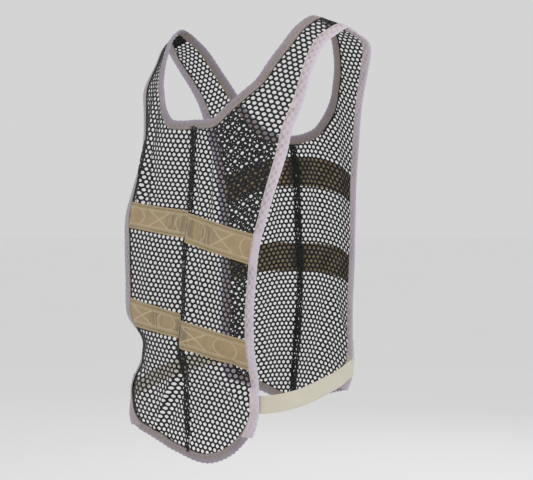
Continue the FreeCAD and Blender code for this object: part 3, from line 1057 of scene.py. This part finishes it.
def shoulder_cover(name, hand, slot, material, shape):
    """Short piece over the split, sewn to back and front. shape(a, b) gives x, t, off."""
    sign = SIGN[hand]
    cover = plain_grid("%s_%s" % (name, hand), 24, 24)
    co = coordinates(cover)
    x, t, off = shape(co[:, 0] if sign > 0 else 1 - co[:, 0], co[:, 1])
    move_to(cover, np.column_stack([sign * x, t, off]))
    apply(cover, "SOLIDIFY", thickness=BIND_CLOTH, offset=0)
    flat_map(cover)
    co = coordinates(cover)
    move_to(cover, over_shoulder(co[:, 0], co[:, 1], co[:, 2]) * MM)
    finish(cover, None, slot, material)
    middle = np.full(2, sign * SHOULDER_MIDDLE)
    start, end = over_shoulder(middle, np.array([-4.0, 4.0]), 0.0) * MM
    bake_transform(cover)


def seam_over_split(a, b):
    """Flat strip of seam between the two bindings."""
    t = 13 * b - 6
    return 119 + 27 * a, t, 0.95 + 0.25 * np.sin(math.pi * b) + 0 * a


def bound_over_split(inward, corner, behind, before):
    """Folded binding along an edge that leans as it goes down the back and down the front."""
    def shape(a, b):
        t = 16 * b - 8
        q = inward * (2 * a - 1)
        edge = np.where(t < 0, corner + behind * t, corner + before * t)
        return edge + inward * (11.8 * np.abs(q) - 0.5), t, 1.75 * np.tanh(q / 0.09)
    return shape


def side_strap(hand):
    """Flat elastic, its ends inside the side bindings."""
    sign = SIGN[hand]
    strap = plain_grid("elastic_%s" % hand, 150, 12)
    run = length_of(STRAP)
    co = coordinates(strap)
    d, k = run * co[:, 0], co[:, 1] - 0.5
    move_to(strap, np.column_stack([d, STRAP_W * k, np.zeros(len(d))]))
    apply(strap, "SOLIDIFY", thickness=STRAP_T, offset=0)
    apply(strap, "BEVEL", width=0.25, segments=1, limit_method="ANGLE")
    flat_map(strap)
    co = coordinates(strap)
    d, k, off = np.clip(co[:, 0], 0, run), co[:, 1] / STRAP_W, co[:, 2]
    at = along(STRAP, d)
    way = along(STRAP, d + 1.5) - along(STRAP, d - 1.5)
    way /= np.linalg.norm(way, axis=1)[:, None]
    out = np.column_stack([way[:, 1], -way[:, 0], np.zeros(len(d))])
    out /= np.linalg.norm(out, axis=1)[:, None]
    up = np.cross(out, way)
    up *= np.sign(up[:, 2:3])
    lean = 0.10 * np.sin(math.pi * d / run)
    loose = at + out * (off + 1.2 * np.sin(d / 27) * np.sin(math.pi * d / run)
                        - lean * k * STRAP_W)[:, None] + up * (STRAP_W * k)[:, None]
    free = np.clip((np.minimum(d, run - d) - 6) / 18, 0, 1)
    free = eased(free)[:, None]
    loose[:, 0] *= sign
    if sign < 0:
        # The drawn-in edge takes the strap's near end with it.
        drawn = np.clip(1 - d / 75, 0, 1)[:, None]
        loose += drawn ** (2.6, 0.8, 1) * pinch(0 * d - 104, STRAP_ENDS["back"] - k * STRAP_W)
    place = np.empty_like(loose)
    for panel, half in (("back", d < run / 2), ("front", d >= run / 2)):
        s = STRAP_ENDS[panel] - k * STRAP_W
        sewn = lifted(panel, sign * at[:, 0], s, off - BIND_T / 2 - 0.35 - 0.8)
        place[half] = (sewn * (1 - free) + loose * free)[half]
    move_to(strap, place * MM)
    face_out(strap)
    finish(strap, None, "elastic", ELASTIC, "side_strap_%s" % hand, angle=60)
    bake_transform(strap)


# -------- room, light, camera

def camera():
    """Level with the middle of the vest, behind the wearer's right side."""
    around, far, height, look = math.radians(40), 1.95, -0.2583, 102.7
    data = bpy.data.cameras.new("camera")
    data.lens = look
    data.sensor_width = 36
    made = bpy.data.objects.new("camera", data)
    bpy.context.scene.collection.objects.link(made)
    made.location = (far * math.sin(around), -far * math.cos(around), height)
    made.rotation_euler = (math.pi / 2 - math.radians(0.565), 0, around - math.radians(0.697))
    bpy.context.scene.camera = made


def lamp(name, place, size, power, colour):
    """A round soft light that faces the vest."""
    data = bpy.data.lights.new(name, "AREA")
    data.shape = "DISK"
    data.size = size
    data.energy = power
    data.color = colour
    made = bpy.data.objects.new(name, data)
    bpy.context.scene.collection.objects.link(made)
    made.location = place
    toward = np.array((0, 0, -0.28)) - np.array(place)
    x, y, z = toward
    made.rotation_euler = (math.atan2(math.hypot(x, y), -z), 0, math.atan2(-x, y))
    made.visible_camera = False


def room():
    """Pale floor, even light all round, and three soft lamps."""
    bpy.ops.object.select_all(action="DESELECT")
    bpy.ops.mesh.primitive_circle_add(vertices=96, radius=60, fill_type="NGON",
                                      location=(0, 0, -0.78))
    floor = bpy.context.object
    bpy.ops.object.transform_apply(location=True)
    floor.name = "floor"
    floor.data.materials.append(plain_material("pale_floor", (0.925, 0.925, 0.925)))
    world = bpy.data.worlds.new("studio")
    bpy.context.scene.world = world
    world.use_nodes = True
    tree = world.node_tree
    shade = tree.nodes["Background"]
    seen = node(tree, "ShaderNodeBackground")
    for shader, level in ((shade, 0.70), (seen, 0.655)):
        shader.inputs[0].default_value = (level, level, level, 1)
    which = node(tree, "ShaderNodeMixShader")
    tree.links.new(node(tree, "ShaderNodeLightPath").outputs["Is Camera Ray"], which.inputs[0])
    tree.links.new(shade.outputs[0], which.inputs[1])
    tree.links.new(seen.outputs[0], which.inputs[2])
    tree.links.new(which.outputs[0], tree.nodes["World Output"].inputs["Surface"])
    bpy.context.scene.view_settings.view_transform = "Standard"
    lamp("key", (1.5, -0.4, 0.7), 1.1, 8.5, (1, 0.985, 0.97))
    lamp("fill", (-1.2, -1.4, 0.3), 1.3, 2.5, (0.97, 0.98, 1))
    lamp("rim", (-0.5, 1.6, 0.6), 1.0, 4, (1, 1, 1))


camera()
room()
for half in ("back", "front"):
    for hand in ("right", "left"):
        net_panel(half, hand)
        side_binding(half, hand)
    neck_binding(half)
    hem_binding(half)
    centre_seam(half)
    for band_name in TAPES[half]:
        tape_band(half, band_name)
    band_stitches(half)
    binding_stitches(half)
for hand in ("right", "left"):
    shoulder_seam(hand)
    shoulder_cover("shoulder_cover", hand, "seam", YARN, seam_over_split)
    shoulder_cover("neck_cover", hand, "binding", SHADED_BINDING,
                   bound_over_split(1, 110, 0.08, -0.18))
    shoulder_cover("side_cover", hand, "binding", SIDE_BINDING[hand],
                   bound_over_split(-1, 154, 0.17, 0.42))
    side_strap(hand)
